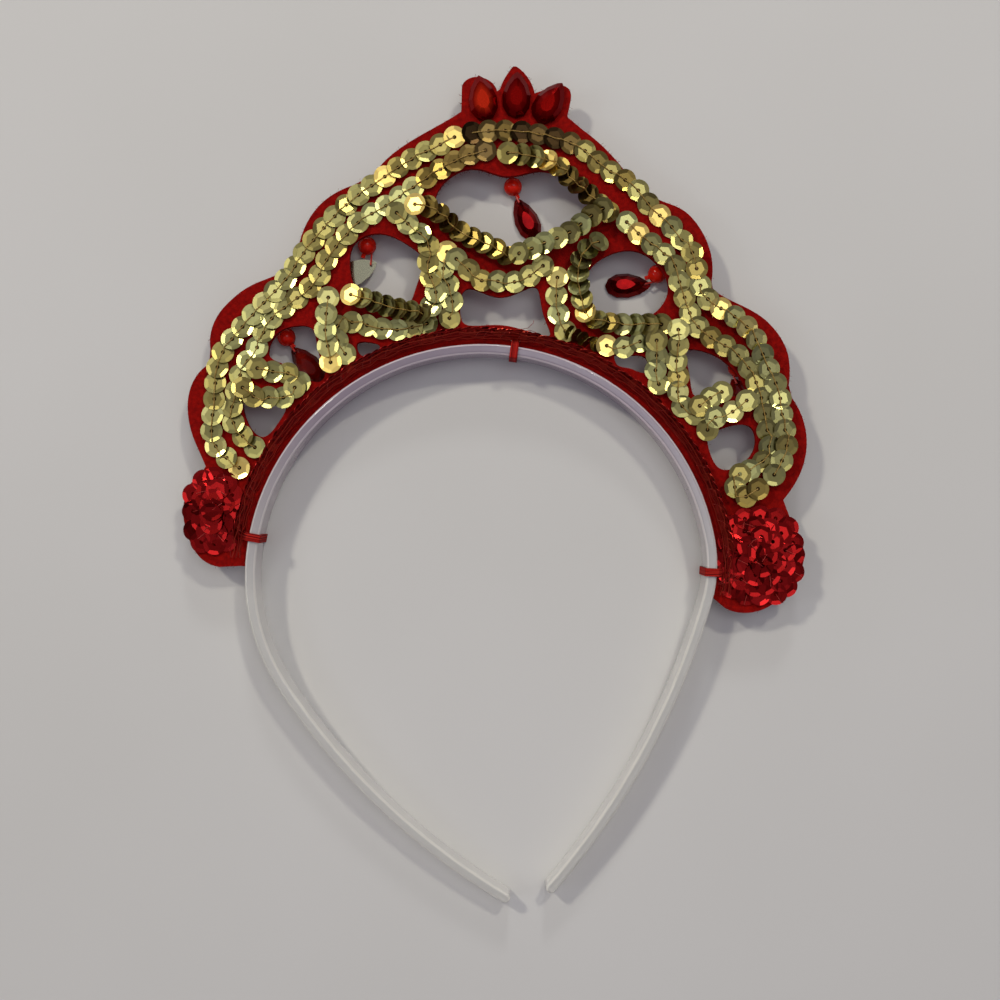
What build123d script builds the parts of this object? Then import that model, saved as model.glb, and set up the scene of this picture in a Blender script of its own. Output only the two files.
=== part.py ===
from build123d import *
import math
import os

# A handmade tiara headband lying on its back, crest away from the viewer.
# Lengths are millimetres. The origin is the centre of the band's crown, on the table.
# +X runs across the wearer, +Y up to the crest, +Z up from the table.
# Places on the tiara are a clock angle, clockwise from +Y, and a share of the tiara's rise
# outwards from the band's outer face.

# Headband
band_radius = 63.5
band_thickness = 2.8
band_height = 10.0
tip_height = 6.5
crown_left = -81.0
crown_right = 80.0
shoulder_reach = 0.5
band_top_round = 0.8
band_bottom_round = 0.4
most_round_share = 0.4

# Felt tiara
tiara_rise = 75.0
felt_thickness = 1.8
felt_underside = 6.2
felt_gap = 0.2
sewn_gap = 0.1
cut_margin = 1.0

# Thread ties round the band
tie_width = 2.2
tie_thickness = 0.45
tie_bite = 1.3
tie_gap = 0.12
nick_depth = 0.65

# String of red sequins standing on edge along the base
string_margin = 2.1
string_foot_width = 1.0
string_width = 1.9
string_foot_height = 1.1
string_height = 3.0
string_left = -85.0
string_right = 94.0

# Gold sequins
sequin_diameter = 6.0
sequin_thickness = 0.2
sequin_hole = 1.0
sequin_pitch = 4.35
sequin_lean = 5.5
sequin_gap = 0.13

# Flat-backed gems on the crest
gem_length = 12.4
gem_width = 7.8
gem_height = 3.0
gem_point = 0.55
gem_sides = 12
stone_heart = 0.12

# Bead and drop dangles
bead_diameter = 5.0
bead_bore = 1.0
drop_length = 12.6
drop_width = 6.8
drop_point = 0.5
drop_height = 3.2
drop_bore = 0.9
drop_bore_inset = 1.7
drop_bore_level = 0.6
thread_diameter = 0.5
thread_reach = 3.2
thread_hump = 1.1

# Domes of red sequins on the two ends
dome_tier_height = 1.1
dome_tiers = 3
dome_step = 3.2
dome_clearance = 0.3
dome_ridge = 0.1
dome_least_count = 5
dome_crowding = 1.15

# Heights that follow from the sizes above
felt_top = felt_underside + felt_thickness
sewn_level = felt_top + sewn_gap

# Arms of the band, from the crown down: the degrees that each arc turns, and the radius of its
# outer face as a share of band_radius.
LEFT_ARM = [  # (turn, radius)
    (42.5, 0.874),
    (25.0, 3.020),
]
RIGHT_ARM = [  # (turn, radius)
    (26.0, 0.590),
    (24.3, 3.320),
]

# Outer edge of the felt, one list for each scallop, clockwise from the left end.
SCALLOPS = [  # (angle, rise)
    [(-86.5, -0.060), (-86.5, 0.020)],
    [(-87.0, 0.095), (-85.0, 0.172), (-81.0, 0.222), (-77.5, 0.249), (-74.0, 0.258), (-71.0, 0.249),
     (-69.5, 0.232)],
    [(-67.5, 0.224), (-65.5, 0.265), (-63.0, 0.320), (-60.5, 0.363), (-57.0, 0.402), (-54.0, 0.412),
     (-51.5, 0.401)],
    [(-49.5, 0.432), (-47.5, 0.470), (-45.0, 0.494), (-42.0, 0.502), (-38.0, 0.496), (-34.0, 0.474),
     (-32.5, 0.471)],
    [(-29.0, 0.510), (-26.5, 0.572), (-23.0, 0.623), (-20.0, 0.641), (-18.0, 0.644)],
    [(-15.0, 0.658), (-11.5, 0.720), (-7.5, 0.768), (-2.5, 0.836)],
    [(-2.3, 0.928), (-1.5, 0.953), (0.0, 0.957), (1.8, 0.909)],
    [(2.1, 0.915), (2.6, 0.955), (3.5, 1.000)],
    [(3.9, 1.000), (5.2, 0.966), (6.2, 0.911)],
    [(9.1, 0.952), (10.3, 0.933), (10.5, 0.895), (10.5, 0.843)],
    [(12.5, 0.811), (16.0, 0.763), (19.5, 0.704)],
    [(21.5, 0.684), (25.0, 0.659), (28.5, 0.665), (31.0, 0.648), (33.5, 0.614), (35.5, 0.573),
     (37.5, 0.506)],
    [(38.5, 0.485), (42.0, 0.500), (46.5, 0.531), (50.0, 0.536), (53.0, 0.523), (55.5, 0.493),
     (57.5, 0.458)],
    [(59.5, 0.444), (64.5, 0.437), (67.0, 0.419), (70.5, 0.374), (73.0, 0.324), (75.0, 0.272)],
    [(78.5, 0.281), (82.0, 0.303), (86.0, 0.311), (89.0, 0.290), (92.5, 0.240), (95.5, 0.177),
     (97.0, 0.103), (96.5, 0.034)],
    [(94.5, -0.010), (88.0, -0.060)],
]

# Openings cut through the felt, each a closed curve.
OPENINGS = {  # name: (angle, rise)
    "top": [(-7.0, 0.530), (-5.5, 0.585), (-1.0, 0.631), (3.5, 0.605), (8.0, 0.637), (13.5, 0.606),
            (16.0, 0.560), (13.5, 0.442), (9.0, 0.365), (5.5, 0.334), (2.5, 0.352), (-3.0, 0.424)],
    "upper left": [(-20.0, 0.452), (-16.0, 0.447), (-12.0, 0.378), (-10.5, 0.335), (-12.5, 0.235),
                   (-14.5, 0.185), (-20.0, 0.247), (-23.0, 0.290), (-22.5, 0.390)],
    "upper right": [(19.0, 0.325), (21.0, 0.400), (25.5, 0.460), (30.0, 0.442), (32.5, 0.400),
                    (32.5, 0.280), (29.0, 0.213), (24.5, 0.181), (20.5, 0.225)],
    "base middle": [(-4.5, 0.140), (-3.0, 0.200), (4.0, 0.172), (10.5, 0.222), (13.0, 0.135),
                    (15.5, 0.072), (5.0, 0.072), (-4.0, 0.079)],
    "left": [(-43.0, 0.275), (-41.1, 0.297), (-38.5, 0.302), (-36.1, 0.283), (-34.0, 0.245),
             (-34.8, 0.190), (-36.2, 0.125), (-37.0, 0.085), (-38.9, 0.072), (-40.7, 0.105),
             (-42.0, 0.190)],
    "right": [(42.0, 0.270), (45.5, 0.312), (51.0, 0.330), (55.0, 0.313), (51.5, 0.225),
              (49.0, 0.165), (45.0, 0.205)],
    "low left": [(-53.0, 0.222), (-51.0, 0.160), (-48.5, 0.092), (-52.0, 0.076), (-56.5, 0.088),
                 (-55.5, 0.180)],
    "low right": [(57.5, 0.120), (58.0, 0.195), (60.5, 0.265), (63.5, 0.250), (65.5, 0.200),
                  (65.0, 0.100), (61.0, 0.090)],
    "base left": [(-27.5, 0.114), (-25.0, 0.096), (-23.5, 0.070), (-28.0, 0.066)],
    "base right": [(30.6, 0.092), (33.5, 0.122), (36.8, 0.143), (38.2, 0.105), (34.7, 0.080),
                   (31.4, 0.072)],
}

# Rows of gold sequins in the order they are sewn, each sequin lapping over the one before.
# The roll turns a row's sequins about its own line, in degrees.
SEQUIN_ROWS = [  # (name, roll, [(angle, rise)])
    ("second_left_row", 0, [(-59.5, 0.095), (-58.5, 0.168), (-56.5, 0.227), (-53.0, 0.257),
                            (-49.0, 0.292), (-46.0, 0.305), (-43.5, 0.314), (-40.5, 0.343),
                            (-38.0, 0.357), (-34.5, 0.358), (-32.0, 0.364), (-29.0, 0.376),
                            (-27.0, 0.407), (-24.5, 0.446), (-21.5, 0.479), (-19.5, 0.504),
                            (-15.0, 0.533), (-10.0, 0.580), (-6.0, 0.629), (-1.5, 0.679),
                            (0.5, 0.693)]),
    ("second_top_row", 20, [(19.0, 0.543), (17.0, 0.565), (15.0, 0.588), (12.5, 0.622), (11.0, 0.648),
                            (9.0, 0.674), (6.5, 0.679), (4.5, 0.682), (3.5, 0.682)]),
    ("second_right_row", 0, [(22.0, 0.532), (26.5, 0.499), (29.0, 0.488), (31.5, 0.471), (33.5, 0.430),
                             (35.5, 0.397), (37.5, 0.367), (40.5, 0.343), (43.0, 0.345), (48.5, 0.371),
                             (54.0, 0.362), (56.5, 0.348), (62.0, 0.307), (65.0, 0.284), (67.0, 0.241),
                             (67.5, 0.187)]),
    ("outer_left_row", 0, [(-65.0, 0.110), (-64.0, 0.180), (-62.5, 0.236), (-59.0, 0.276),
                           (-55.5, 0.311), (-49.5, 0.381), (-44.0, 0.398), (-38.5, 0.413),
                           (-33.0, 0.438), (-28.0, 0.491), (-23.5, 0.541), (-19.0, 0.589),
                           (-14.5, 0.629), (-10.0, 0.676), (-5.5, 0.718), (-3.5, 0.742)]),
    ("outer_top_row", 0, [(-1.2, 0.754), (1.0, 0.760), (5.0, 0.764), (9.0, 0.758), (13.0, 0.740),
                          (17.0, 0.691), (21.5, 0.662), (24.0, 0.625), (28.0, 0.592), (30.0, 0.571),
                          (32.5, 0.544), (34.5, 0.503)]),
    ("outer_right_row", 0, [(36.5, 0.462), (38.5, 0.440), (41.0, 0.443), (44.5, 0.458), (48.5, 0.455),
                            (51.5, 0.436), (54.5, 0.420), (57.5, 0.408), (60.0, 0.385), (62.5, 0.365),
                            (65.5, 0.348), (68.0, 0.308), (70.0, 0.262)]),
    ("left_low_row", 0, [(-12.0, 0.094), (-15.0, 0.094), (-18.0, 0.098), (-23.5, 0.146), (-26.0, 0.180),
                         (-29.0, 0.203), (-31.0, 0.150), (-31.0, 0.100)]),
    ("right_low_row", 0, [(28.0, 0.106), (31.5, 0.134), (33.5, 0.180)]),
    ("left_post_inner", 0, [(-7.0, 0.100), (-6.0, 0.160), (-6.5, 0.225), (-7.0, 0.280), (-6.0, 0.336)]),
    ("left_post_outer", 0, [(-10.5, 0.150), (-9.0, 0.200), (-9.5, 0.250), (-9.5, 0.312), (-9.0, 0.369),
                            (-10.0, 0.412), (-11.5, 0.451), (-13.0, 0.502)]),
    ("right_post_inner", 0, [(18.5, 0.095), (17.0, 0.121), (15.5, 0.166), (14.5, 0.220),
                             (14.0, 0.272)]),
    ("middle_row", 0, [(-4.5, 0.307), (-2.0, 0.258), (1.0, 0.220), (4.0, 0.228), (7.0, 0.230),
                       (9.0, 0.257), (11.0, 0.300)]),
    ("left_strut_row", 35, [(-12.5, 0.126), (-15.5, 0.152), (-18.5, 0.180), (-22.0, 0.232),
                            (-24.5, 0.272)]),
    ("right_post_outer", 20, [(35.0, 0.270), (32.5, 0.238), (30.0, 0.207), (27.0, 0.182), (24.0, 0.167),
                              (21.5, 0.175), (19.5, 0.220), (17.5, 0.288), (17.0, 0.345),
                              (19.0, 0.430)]),
    ("v_left_row", 35, [(4.5, 0.314), (2.5, 0.337), (0.0, 0.361), (-2.0, 0.379), (-4.0, 0.403),
                        (-5.5, 0.442), (-7.0, 0.482), (-10.0, 0.510)]),
    ("v_right_row", -35, [(6.5, 0.322), (9.0, 0.350), (11.0, 0.380), (13.0, 0.405), (14.5, 0.430),
                          (15.5, 0.467), (17.0, 0.512), (18.0, 0.541)]),
    ("left_leg_row", 0, [(-34.6, 0.101), (-33.2, 0.153), (-31.9, 0.208), (-30.1, 0.257),
                         (-28.4, 0.303)]),
    ("right_leg_inner", 0, [(42.0, 0.100), (39.5, 0.130), (38.0, 0.167), (36.0, 0.213)]),
    ("right_leg_outer", 0, [(52.0, 0.121), (49.5, 0.104), (46.5, 0.119), (44.0, 0.165), (41.5, 0.202),
                            (40.0, 0.239), (38.0, 0.289)]),
    ("left_fan_inner", 0, [(-42.5, 0.116), (-43.0, 0.168), (-45.0, 0.211), (-46.5, 0.257)]),
    ("left_fan_outer", 0, [(-44.0, 0.114), (-46.5, 0.114), (-48.5, 0.132), (-49.5, 0.169), (-51.5, 0.215),
                           (-51.0, 0.250)]),
    ("right_fan_inner", 0, [(51.8, 0.246), (51.3, 0.197), (51.2, 0.151)]),
    ("right_fan_outer", 0, [(56.2, 0.123), (54.7, 0.141), (55.5, 0.194), (56.0, 0.252), (55.7, 0.295)]),
    ("end_row", 0, [(67.5, 0.150), (69.5, 0.116), (72.0, 0.135), (71.5, 0.190)]),
]

# Ties: how far along the band each one sits, as a share of its length from the left tip.
TIES = [  # (name, way)
    ("tie_left", 0.3106),
    ("tie_middle", 0.5453),
    ("tie_right", 0.7599),
]

# Crest gems: place of the stone's middle, and the clock angle that its point faces.
GEMS = [  # (name, angle, rise, facing)
    ("crest_gem_left", 0.1, 0.880, -10.0),
    ("crest_gem_middle", 4.1, 0.896, 2.0),
    ("crest_gem_right", 8.1, 0.882, 33.0),
]

# Dangles: place of the bead, the clock angle from bead to drop, the distance from the bead's
# middle to the drop's point, the clock angle of the drop, and whether it lies face down.
DANGLES = [  # (name, angle, rise, thread angle, reach, drop angle, face down)
    ("top", 4.5, 0.587, 161.0, 2.9, 155.0, False),
    ("left", -19.0, 0.438, 150.0, 5.4, 245.0, True),
    ("right", 29.8, 0.435, 207.0, 3.1, 269.0, False),
    ("low_left", -38.9, 0.287, 156.0, 2.9, 138.0, False),
    ("low_right", 50.3, 0.360, 202.0, 3.1, 146.0, False),
]

# Cut of a stone from its flat back up: each ring of corners, its size as a share of the
# girdle's and its height as a share of the stone's.
STONE_RINGS = [  # (size, height)
    (1.0, 0.0),
    (1.0, 0.22),
    (0.74, 0.68),
    (0.42, 1.0),
]

# Domes of red sequins: place, half length and half width of the patch, and its clock angle.
DOMES = [  # (name, angle, rise, half length, half width, facing)
    ("dome_left", -75.5, 0.147, 11.3, 8.0, -2.0),
    ("dome_right", 84.9, 0.159, 13.2, 11.4, -4.0),
]


def clock(angle):
    """Unit vector at a clock angle."""
    turn = math.radians(angle)
    return Vector(math.sin(turn), math.cos(turn))


def place(angle, rise, level=0.0):
    """Point on the tiara at a clock angle and a share of its rise."""
    spot = clock(angle) * (band_radius + rise * tiara_rise)
    return Vector(spot.X, spot.Y, level)


def arm_arcs(start, heading, arcs, way, reach):
    """Arcs of one arm's middle line, each tangent to the last; way is 1 for a left-hand bend.

    The reach is how much of the last arc is kept.
    """
    edges = []
    last_turn, last_share = arcs[-1]
    for turn, share in [*arcs[:-1], (reach * last_turn, last_share)]:
        radius = share * band_radius - band_thickness / 2
        arc = JernArc(start, heading, radius, way * turn)
        start = arc @ 1
        heading = arc % 1
        edges.append(arc)
    return edges


def upright(face, low, high):
    """Flat face drawn at table level, made solid between two heights."""
    return extrude(Pos(0, 0, low) * face, high - low, dir=(0, 0, 1))


def band_line(reach=1.0):
    """Middle line of the band, from the left tip over the crown to the right tip."""
    radius = band_radius - band_thickness / 2
    crown = CenterArc((0, 0), radius, 90 - crown_left, crown_left - crown_right)
    left = arm_arcs(crown @ 0, -(crown % 0), LEFT_ARM, 1, reach)
    right = arm_arcs(crown @ 1, crown % 1, RIGHT_ARM, -1, reach)
    return Wire([crown, *left, *right])


def ribbon(extra, reach=1.0):
    """Outline of the band from above, grown all round by extra."""
    return Face(band_line(reach).offset_2d(band_thickness / 2 + extra))


def head_side(extra):
    """Everything inside the band's outer face, as far down as its shoulders, grown by extra."""
    line = band_line(shoulder_reach)
    across = Line(line @ 1, line @ 0)
    return Face(Wire([*line.edges(), across])) + ribbon(extra, shoulder_reach)


def band_profile():
    """Side view of the band, level over the crown and tapering to the left tip."""
    tip = (band_line() @ 0).Y - band_thickness / 2
    beyond = 2 * band_radius
    view = Plane.YZ
    slope_start = view.from_local_coords(Vector(0, band_height))
    slope_end = view.from_local_coords(Vector(tip, tip_height))
    slope = TangentArc(slope_start, slope_end, tangent=Vector(0, -1, 0))
    corners = [(tip, tip_height), (tip, 0), (beyond, 0), (beyond, band_height), (0, band_height)]
    rest = Polyline(*[view.from_local_coords(Vector(*corner)) for corner in corners])
    return Face(Wire([slope, *rest.edges()]))


def tie_plane(way):
    """Plane across the band at a tie: its x points outwards and its y up, from the outer face."""
    line = band_line()
    along = line % way
    outward = Vector(-along.Y, along.X)
    origin = (line @ way) + outward * (band_thickness / 2)
    return Plane(origin=origin, x_dir=outward, z_dir=outward.cross(Vector(0, 0, 1)))


def tie_inside():
    """Inner edge of a tie, round the band and through the felt."""
    through = felt_gap + tie_bite
    return Polygon(
        (-band_thickness - tie_gap, nick_depth - tie_gap),
        (tie_gap, nick_depth - tie_gap),
        (through, felt_underside - tie_gap),
        (through, felt_top + tie_gap),
        (tie_gap, band_height + tie_gap),
        (-band_thickness - tie_gap, band_height + tie_gap),
        align=None,
    )


def tie(way):
    """One flat band of red thread tied round the headband."""
    inside = tie_inside()
    loop = offset(inside, tie_thickness) - inside
    return extrude(tie_plane(way) * loop, tie_width / 2, both=True)


def tie_cut(way, inner, outer, low, high):
    """Block to cut for a tie, between two distances out from the band and two heights."""
    middle = ((inner + outer) / 2, (low + high) / 2)
    cut = Pos(*middle) * Rectangle(outer - inner, high - low)
    return extrude(tie_plane(way) * cut, tie_width / 2 + tie_gap, both=True)


def headband():
    """Clear plastic band standing on its lower edge, with a shallow nick under each tie."""
    beyond = 2 * band_radius
    blank = upright(ribbon(0), 0, band_height)
    blank = blank & extrude(band_profile(), beyond, both=True)
    top = blank.faces().filter_by(lambda face: face.normal_at().Z > 0.5).edges()
    top = top.filter_by(lambda edge: not is_crease(edge))
    most_round = most_round_share * band_thickness
    blank = fillet(top, min(band_top_round, most_round))
    bottom = blank.faces().filter_by(lambda face: face.normal_at().Z < -0.5).edges()
    blank = fillet(bottom, min(band_bottom_round, most_round))
    for name, way in TIES:
        blank -= tie_cut(way, -1.5 * band_thickness, 0.5 * band_thickness, -nick_depth, nick_depth)
    return blank


def is_crease(edge):
    """True for the straight edge across the band where the taper starts."""
    return abs((edge @ 0).Y) < 0.01 and abs((edge @ 1).Y) < 0.01


def felt_face():
    """Scalloped outline of the felt, before its openings are cut."""
    edges = []
    last = None
    for scallop in SCALLOPS:
        points = [place(angle, rise) for angle, rise in scallop]
        if last is not None:
            edges.append(Line(last, points[0]))
        edges.append(Spline(points) if len(points) > 2 else Line(*points))
        last = points[-1]
    edges.append(Line(last, place(*SCALLOPS[0][0])))
    return Face(Wire(edges))


def tiara_felt():
    """Red felt, scalloped outside, pierced, and slotted for the ties."""
    sheet = Sketch() + felt_face()
    for outline in OPENINGS.values():
        points = [place(angle, rise) for angle, rise in outline]
        sheet -= Face(Wire([Spline(points, periodic=True)]))
    sheet -= head_side(felt_gap)
    felt = upright(sheet, felt_underside, felt_top)
    slot_inner = felt_gap + tie_bite - tie_gap
    slot_outer = felt_gap + tie_bite + tie_thickness + tie_gap
    for name, way in TIES:
        felt -= tie_cut(way, slot_inner, slot_outer, felt_underside - cut_margin,
                        felt_top + cut_margin)
    return felt


def base_strip(inner, outer, low, high):
    """Band of even width along the foot of the tiara, between the string's two ends."""
    far = 2 * (band_radius + tiara_rise)
    middle = (string_left + string_right) / 2
    fan = Polygon((0, 0), *[tuple(clock(angle) * far)[:2] for angle in (string_right, middle, string_left)],
                  align=None)
    strip = (head_side(outer) - head_side(inner)) & fan
    return upright(strip, low, high)


def base_sequin_string():
    """Red sequins standing on edge, their feet in a narrow line and their tops leaning out."""
    inner = felt_gap + string_margin
    foot_top = sewn_level + string_foot_height
    foot = base_strip(inner, inner + string_foot_width, sewn_level, foot_top)
    crown = base_strip(inner, inner + string_width, foot_top, sewn_level + string_height)
    return foot + crown


def dome(angle, rise, half_length, half_width, facing):
    """Heap of red sequins on one end, in tiers that shrink towards its top."""
    turned = Plane(origin=place(angle, rise), x_dir=clock(facing + 90), z_dir=(0, 0, 1))
    radius = sequin_diameter / 2
    heap = None
    for tier in range(dome_tiers):
        along = half_length - radius - tier * dome_step
        across = max(half_width - radius - tier * dome_step, dome_ridge)
        count = max(dome_least_count, round(math.pi * (along + across) / sequin_diameter * dome_crowding))
        patch = Ellipse(across + radius / 2, along + radius / 2)
        for step in range(count):
            turn = 2 * math.pi * (step + tier / 2) / count
            patch += Pos(across * math.cos(turn), along * math.sin(turn)) * Circle(radius)
        low = sewn_level + tier * dome_tier_height
        slab = upright(turned * patch, low, low + dome_tier_height)
        heap = slab if heap is None else heap + slab
    keep_out = felt_gap + string_margin + string_width + dome_clearance
    return heap - upright(head_side(keep_out), felt_top, felt_top + (dome_tiers + 1) * dome_tier_height)


def pear_ring(length, width, point, scale, level):
    """Teardrop polygon with its point along +Y, shrunk towards the heart of its round end.

    The teardrop is y = cos(turn), x = sin(turn) sin(turn / 2) ** point, divided by its widest x.
    """
    heart = -stone_heart * length
    lobe = math.sqrt((1 + point) / (2 + point))
    widest = 2 * lobe ** (1 + point) * math.sqrt(1 - lobe ** 2)
    corners = []
    for step in range(gem_sides):
        turn = 2 * math.pi * step / gem_sides
        x = width / 2 * math.sin(turn) * math.sin(turn / 2) ** point / widest
        y = length / 2 * math.cos(turn)
        corners.append((scale * x, heart + scale * (y - heart)))
    return Pos(0, 0, level) * Face(Wire.make_polygon([(x, y, 0) for x, y in corners], close=True))


def cut_stone(length, width, height, point):
    """Flat-backed teardrop stone with a girdle, two rows of facets and a table."""
    stone = None
    for (low_scale, low), (high_scale, high) in zip(STONE_RINGS, STONE_RINGS[1:]):
        lower = pear_ring(length, width, point, low_scale, low * height)
        upper = pear_ring(length, width, point, high_scale, high * height)
        layer = loft([lower, upper], ruled=True)
        stone = layer if stone is None else stone + layer
    return stone


def crest_gem(angle, rise, facing):
    """One gem glued flat on the felt."""
    seat = Plane(origin=place(angle, rise, sewn_level), x_dir=clock(facing + 90), z_dir=(0, 0, 1))
    return seat * cut_stone(gem_length, gem_width, gem_height, gem_point)


def bead(centre, thread_angle):
    """Round bead, drilled along its thread."""
    ball = Sphere(bead_diameter / 2)
    along = Plane(origin=(0, 0, 0), z_dir=clock(thread_angle))
    return Pos(*centre) * (ball - along * Cylinder(bead_bore / 2, 2 * bead_diameter))


def drop(tip, drop_angle, face_down):
    """Faceted drop lying flat, drilled near its point."""
    stone = Pos(0, -drop_length / 2) * cut_stone(drop_length, drop_width, drop_height, drop_point)
    stone -= Pos(0, -drop_bore_inset) * Cylinder(drop_bore / 2, 3 * drop_height)
    if face_down:
        stone = Pos(0, 0, drop_height) * (Rot(0, 180, 0) * stone)
    back = drop_angle + 180
    seat = Plane(origin=tip, x_dir=clock(back + 90), z_dir=(0, 0, 1))
    return seat * stone


def rod(start, end):
    """Straight piece of thread between two points."""
    run = end - start
    return Plane(origin=start, z_dir=run) * Cylinder(
        thread_diameter / 2, run.length, align=(Align.CENTER, Align.CENTER, Align.MIN))


def thread(points):
    """Thread through a list of points, round at each bend."""
    line = None
    for start, end in zip(points, points[1:]):
        piece = rod(start, end)
        line = piece if line is None else line + piece
    for bend in points[1:-1]:
        line += Pos(*bend) * Sphere(thread_diameter / 2)
    return line


def dangle(angle, rise, thread_angle, reach, drop_angle, face_down):
    """Bead, drop and thread of one dangle, lying on the table under the felt's edge."""
    centre = place(angle, rise, bead_diameter / 2)
    towards = clock(thread_angle)
    tip = Vector(centre.X, centre.Y, 0) + towards * reach
    hole = tip + clock(drop_angle) * drop_bore_inset
    hole_top = drop_height if face_down else drop_bore_level * drop_height
    hung = centre - towards * thread_reach
    route = [
        Vector(hung.X, hung.Y, felt_underside - sewn_gap),
        hung,
        centre + towards * (bead_diameter / 2),
        Vector(hole.X, hole.Y, hole_top + thread_hump),
        Vector(hole.X, hole.Y, drop_height / 4),
    ]
    return bead(centre, thread_angle), drop(tip, drop_angle, face_down), thread(route)


class Disc:
    """One gold sequin: its centre, and its unit normal, which always points up."""

    def __init__(self, centre, along, lean, roll):
        side = Vector(-along.Y, along.X)
        up = Vector(0, 0, 1) * math.cos(math.radians(roll)) + side * math.sin(math.radians(roll))
        self.along = along
        self.normal = up * math.cos(math.radians(lean)) + along * math.sin(math.radians(lean))
        self.centre = Vector(centre.X, centre.Y, 0)

    def height(self, x, y):
        """Height of the middle of the sequin's thickness over a point of the table."""
        slope = self.normal.X * (x - self.centre.X) + self.normal.Y * (y - self.centre.Y)
        return self.centre.Z - slope / self.normal.Z

    def covers(self, x, y):
        """True where the sequin, with its clearance, lies over or under a point."""
        reach = Vector(x - self.centre.X, y - self.centre.Y, self.height(x, y) - self.centre.Z)
        return reach.length < sequin_diameter / 2 + sequin_gap

    def rim(self, count=36):
        """Points of the table under the sequin's rim."""
        across = self.normal.cross(self.along).normalized()
        inward = across.cross(self.normal)
        for step in range(count):
            turn = 2 * math.pi * step / count
            spot = (across * math.cos(turn) + inward * math.sin(turn)) * (sequin_diameter / 2)
            yield self.centre.X + spot.X, self.centre.Y + spot.Y

    def half(self):
        """Half of the sequin's thickness, measured straight up."""
        return sequin_thickness / 2 / self.normal.Z

    def settle(self, laid):
        """Set the sequin down on the felt or on the sequins that are already sewn."""
        tilt = math.sqrt(max(0.0, 1 - self.normal.Z ** 2))
        half_rise = sequin_diameter / 2 * tilt + sequin_thickness / 2
        level = sewn_level + half_rise
        for other in laid:
            apart = self.centre - other.centre
            if math.hypot(apart.X, apart.Y) > sequin_diameter + 2 * sequin_gap:
                continue
            spots = [spot for spot in self.rim() if other.covers(*spot)]
            spots += [spot for spot in other.rim() if self.covers(*spot)]
            for spot in spots:
                air = sequin_gap / self.normal.Z + self.half() + other.half()
                level = max(level, other.height(*spot) + air - self.height(*spot))
        self.centre = Vector(self.centre.X, self.centre.Y, level)

    def solid(self):
        """The drilled disc itself."""
        ring = Cylinder(sequin_diameter / 2, sequin_thickness) - Cylinder(sequin_hole / 2, sequin_diameter)
        seat = Plane(origin=self.centre, x_dir=self.normal.cross(self.along), z_dir=self.normal)
        return (seat * ring).solid()


def row_discs(points, roll):
    """Sequins spaced evenly along one row."""
    line = Spline([place(angle, rise) for angle, rise in points])
    count = max(2, round(line.length / sequin_pitch) + 1)
    for step in range(count):
        way = step / (count - 1)
        yield Disc(line @ way, line % way, sequin_lean, roll)


def sequin_rows():
    """Every row of gold sequins, sewn in order over the rows before."""
    laid = []
    rows = {}
    for name, roll, points in SEQUIN_ROWS:
        rows[name] = []
        for disc in row_discs(points, roll):
            disc.settle(laid)
            laid.append(disc)
            rows[name].append(disc.solid())
    return {name: Compound(solids) for name, solids in rows.items()}


def build():
    """Every piece under the name of its node."""
    pieces = {
        "headband": headband(),
        "tiara_felt": tiara_felt(),
        "base_sequin_string": base_sequin_string(),
    }
    for name, way in TIES:
        pieces[name] = tie(way)
    for name, angle, rise, facing in GEMS:
        pieces[name] = crest_gem(angle, rise, facing)
    for name, *shape in DOMES:
        pieces[name] = dome(*shape)
    for name, *shape in DANGLES:
        ball, stone, line = dangle(*shape)
        pieces["bead_" + name] = ball
        pieces["drop_" + name] = stone
        pieces["thread_" + name] = line
    pieces.update(sequin_rows())
    return pieces


os.makedirs("parts", exist_ok=True)
for node, piece in build().items():
    export_step(piece, f"parts/{node}.step")
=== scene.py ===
import bmesh
import bpy
import math
import random
from mathutils import Matrix, Vector
from mathutils.bvhtree import BVHTree


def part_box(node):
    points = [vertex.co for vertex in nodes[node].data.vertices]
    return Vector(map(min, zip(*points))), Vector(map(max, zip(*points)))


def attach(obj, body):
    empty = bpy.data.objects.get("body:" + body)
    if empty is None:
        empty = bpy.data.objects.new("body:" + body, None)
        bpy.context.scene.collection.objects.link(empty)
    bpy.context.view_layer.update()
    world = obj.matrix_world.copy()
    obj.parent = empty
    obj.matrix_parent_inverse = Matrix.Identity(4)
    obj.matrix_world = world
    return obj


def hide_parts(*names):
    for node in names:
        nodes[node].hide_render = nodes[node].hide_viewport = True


# A handmade tiara headband on a pale table, seen from straight above.
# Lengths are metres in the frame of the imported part; mm makes a length of millimetres.
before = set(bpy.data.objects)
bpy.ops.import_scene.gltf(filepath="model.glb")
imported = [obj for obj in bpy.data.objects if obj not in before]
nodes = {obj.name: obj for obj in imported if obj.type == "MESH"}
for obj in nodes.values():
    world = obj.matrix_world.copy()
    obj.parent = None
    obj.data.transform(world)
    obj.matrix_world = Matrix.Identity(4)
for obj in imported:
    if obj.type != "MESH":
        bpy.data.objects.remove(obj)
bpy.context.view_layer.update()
mm = 0.001
UP = Vector((0, 0, 1))
weld_distance = 0.002 * mm

# Camera
camera_height = 349 * mm
camera_x = 4.91 * mm
camera_y = 21.7 * mm
camera_lens = 45.68
camera_sensor = 36
camera_near = 0.01
camera_far = 10

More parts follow.
